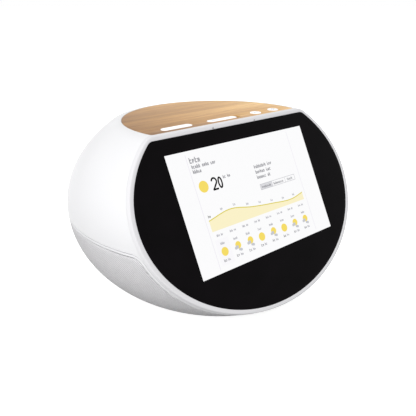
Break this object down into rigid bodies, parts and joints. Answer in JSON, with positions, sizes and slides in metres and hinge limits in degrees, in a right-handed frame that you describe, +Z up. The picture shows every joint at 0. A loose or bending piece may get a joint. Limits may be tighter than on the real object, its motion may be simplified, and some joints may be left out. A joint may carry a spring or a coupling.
{
  "type": "smart speaker",
  "caption": "Egg-shaped table-top smart speaker with a sloping elliptical glass front and screen, a flat wood top with controls, and a fabric grille round the lower half.",
  "frame": {"origin": "where the body's upright axis meets the table, at the middle of the rubber foot pad", "axes": "+Z up; -Y towards the screen and its viewer; +X to the viewer's right, the body's longest direction"},
  "size_m": [0.256, 0.2158, 0.1575],
  "materials": {
    "white_shell": "satin moulded plastic",
    "white_button": "satin moulded plastic",
    "dark_plastic": "matte moulded plastic",
    "grey_plastic": "matte moulded plastic",
    "knit_fabric": "fine knitted mesh",
    "black_glass": "polished, printed black behind",
    "lit_panel": "lit liquid-crystal panel",
    "oak": "fine straight grain, matt lacquer",
    "foot_rubber": "matt",
    "grey_rubber": "matt",
    "steel": "plated",
    "board_green": "solder mask",
    "aluminium_sheet": "satin",
    "brass_pin": "plated",
    "cone_paper": "pressed paper",
    "copper_coil": "wound wire",
    "foam": "closed-cell foam",
    "ribbon_film": "polyimide film"
  },
  "bodies": {
    "speaker_body": {"upper_housing": "white_shell", "lower_housing": "dark_plastic", "base_plate": "grey_plastic", "base_foot_pad": "foot_rubber", "base_screws": "steel", "grille_frame": "dark_plastic", "grille_fabric": "knit_fabric", "grille_trim_ring": "white_shell", "front_bezel": "white_shell", "cover_glass": "black_glass", "glass_adhesive": "foam", "lcd_panel": "lit_panel", "backlight_unit": "aluminium_sheet", "display_frame": "dark_plastic", "display_frame_screws": "steel", "mainboard": "board_green", "shield_cans": "aluminium_sheet", "heat_spreader": "aluminium_sheet", "board_screws": "steel", "microphone_boots": "grey_rubber", "microphone_boards": "board_green", "wood_top_panel": "oak", "button_board": "board_green", "push_switches": "dark_plastic", "slide_switch_body": "dark_plastic", "button_board_screws": "steel", "speaker_enclosure": "dark_plastic", "enclosure_gasket": "foam", "enclosure_lid": "dark_plastic", "enclosure_screws": "steel", "driver_gaskets": "foam", "driver_screws": "steel", "grille_duct_seals": "foam", "port_housing": "white_shell", "power_jack": "dark_plastic", "power_jack_pin": "brass_pin", "jack_board": "board_green", "display_ribbon": "ribbon_film", "button_ribbon": "ribbon_film", "power_lead": "dark_plastic", "driver_basket_left": "dark_plastic", "driver_basket_right": "dark_plastic", "driver_magnet_left": "steel", "driver_magnet_right": "steel", "driver_surround_left": "grey_rubber", "driver_surround_right": "grey_rubber", "driver_spiders": "foam", "speaker_leads": "dark_plastic"},
    "pill_button_body": {"pill_button": "white_button", "pill_button_plunger": "dark_plastic"},
    "slide_switch": {"slide_switch_knob": "white_button", "slide_shutter": "dark_plastic"},
    "round_button_1_body": {"round_button_1": "white_button", "round_button_plunger_1": "dark_plastic"},
    "round_button_2_body": {"round_button_2": "white_button", "round_button_plunger_2": "dark_plastic"},
    "cone_left": {"driver_cone_left": "cone_paper", "voice_coil_left": "copper_coil"},
    "cone_right": {"driver_cone_right": "cone_paper", "voice_coil_right": "copper_coil"}
  },
  "joints": [
    {"name": "pill_button_press", "type": "slide", "parent": "speaker_body", "child": "pill_button_body", "axis": [0, 0, -1], "range_m": [0, 0.0008], "stiffness_N_per_m": 400, "springref_m": -0.0004},
    {"name": "slide_switch_slide", "type": "slide", "parent": "speaker_body", "child": "slide_switch", "axis": [1, 0, 0], "range_m": [0, 0.0037]},
    {"name": "round_button_1_press", "type": "slide", "parent": "speaker_body", "child": "round_button_1_body", "axis": [0, 0, -1], "range_m": [0, 0.0008], "stiffness_N_per_m": 400, "springref_m": -0.0004},
    {"name": "round_button_2_press", "type": "slide", "parent": "speaker_body", "child": "round_button_2_body", "axis": [0, 0, -1], "range_m": [0, 0.0008], "stiffness_N_per_m": 400, "springref_m": -0.0004},
    {"name": "cone_left_stroke", "type": "slide", "parent": "speaker_body", "child": "cone_left", "axis": [-1, 0, 0], "range_m": [-0.001, 0.001], "stiffness_N_per_m": 1300},
    {"name": "cone_right_stroke", "type": "slide", "parent": "speaker_body", "child": "cone_right", "axis": [1, 0, 0], "range_m": [-0.001, 0.001], "stiffness_N_per_m": 1300}
  ]
}
